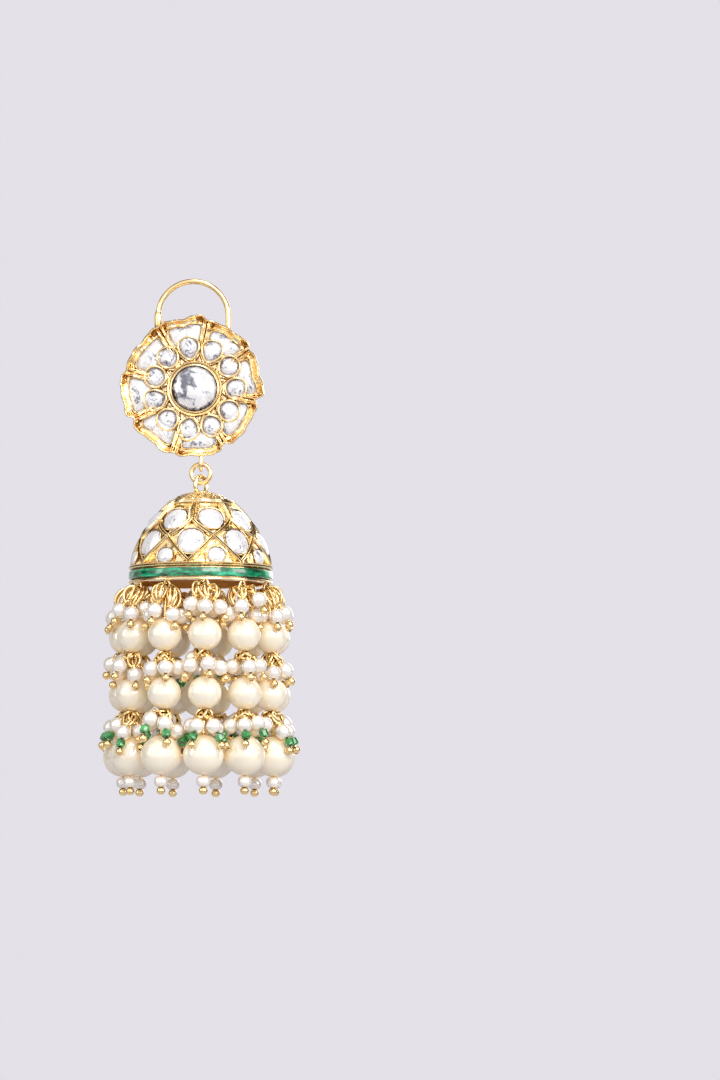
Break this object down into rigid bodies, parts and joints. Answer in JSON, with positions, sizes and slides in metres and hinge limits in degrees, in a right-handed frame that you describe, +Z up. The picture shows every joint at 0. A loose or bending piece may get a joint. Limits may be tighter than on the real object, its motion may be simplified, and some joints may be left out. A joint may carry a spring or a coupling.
{
  "type": "jhumka earring",
  "caption": "Jhumka earring: a stone-set flower stud on an ear wire carries a hollow bell with a green enamel band, hung round with strings of pearls.",
  "frame": {"origin": "underside of the top of the ear wire's arc, where an ear lobe carries the earring", "axes": "+Z up along the hanging earring, -Y out of the flower's front, +X to the right seen from the front"},
  "size_m": [0.0375, 0.0378, 0.0994],
  "materials": {
    "gold": "polished pale gold plate",
    "clear_stone": "clear flat-cut stone on a silver foil",
    "pearl": "cream pearl lustre",
    "seed_pearl": "white pearl lustre",
    "green_enamel": "glossy transparent green enamel",
    "green_bead": "glossy green glass"
  },
  "bodies": {
    "stud": {"ear_wire": "gold", "stud_flower": "gold", "centre_stone": "clear_stone"},
    "link": {"jump_ring": "gold"},
    "drop": {"bell": "gold", "enamel_band": "green_enamel", "strand_wire_01": "gold", "strand_wire_02": "gold", "strand_wire_03": "gold", "strand_wire_04": "gold", "strand_wire_05": "gold", "strand_wire_06": "gold", "strand_wire_07": "gold", "strand_wire_08": "gold", "strand_wire_09": "gold", "strand_wire_10": "gold", "strand_wire_11": "gold", "centre_wire": "gold", "upper_pearl_01": "pearl", "upper_pearl_02": "pearl", "upper_pearl_03": "pearl", "upper_pearl_04": "pearl", "upper_pearl_05": "pearl", "upper_pearl_06": "pearl", "upper_pearl_07": "pearl", "upper_pearl_08": "pearl", "upper_pearl_09": "pearl", "upper_pearl_10": "pearl", "upper_pearl_11": "pearl", "middle_pearl_01": "pearl", "middle_pearl_02": "pearl", "middle_pearl_03": "pearl", "middle_pearl_04": "pearl", "middle_pearl_05": "pearl", "middle_pearl_06": "pearl", "middle_pearl_07": "pearl", "middle_pearl_08": "pearl", "middle_pearl_09": "pearl", "middle_pearl_10": "pearl", "middle_pearl_11": "pearl", "lower_pearl_01": "pearl", "lower_pearl_02": "pearl", "lower_pearl_03": "pearl", "lower_pearl_04": "pearl", "lower_pearl_05": "pearl", "lower_pearl_06": "pearl", "lower_pearl_07": "pearl", "lower_pearl_08": "pearl", "lower_pearl_09": "pearl", "lower_pearl_10": "pearl", "lower_pearl_11": "pearl", "centre_pearl_upper": "pearl", "centre_pearl_lower": "pearl"}
  },
  "joints": [
    {"name": "ring_swing", "type": "hinge", "parent": "stud", "child": "link", "pos_m": [0.00165, -0.0021, -0.0351], "axis": [0, 1, 0], "range_deg": [-25, 25]},
    {"name": "bell_swing", "type": "hinge", "parent": "link", "child": "drop", "pos_m": [0.00165, -0.0021, -0.03885], "axis": [1, 0, 0], "range_deg": [-35, 35]}
  ]
}
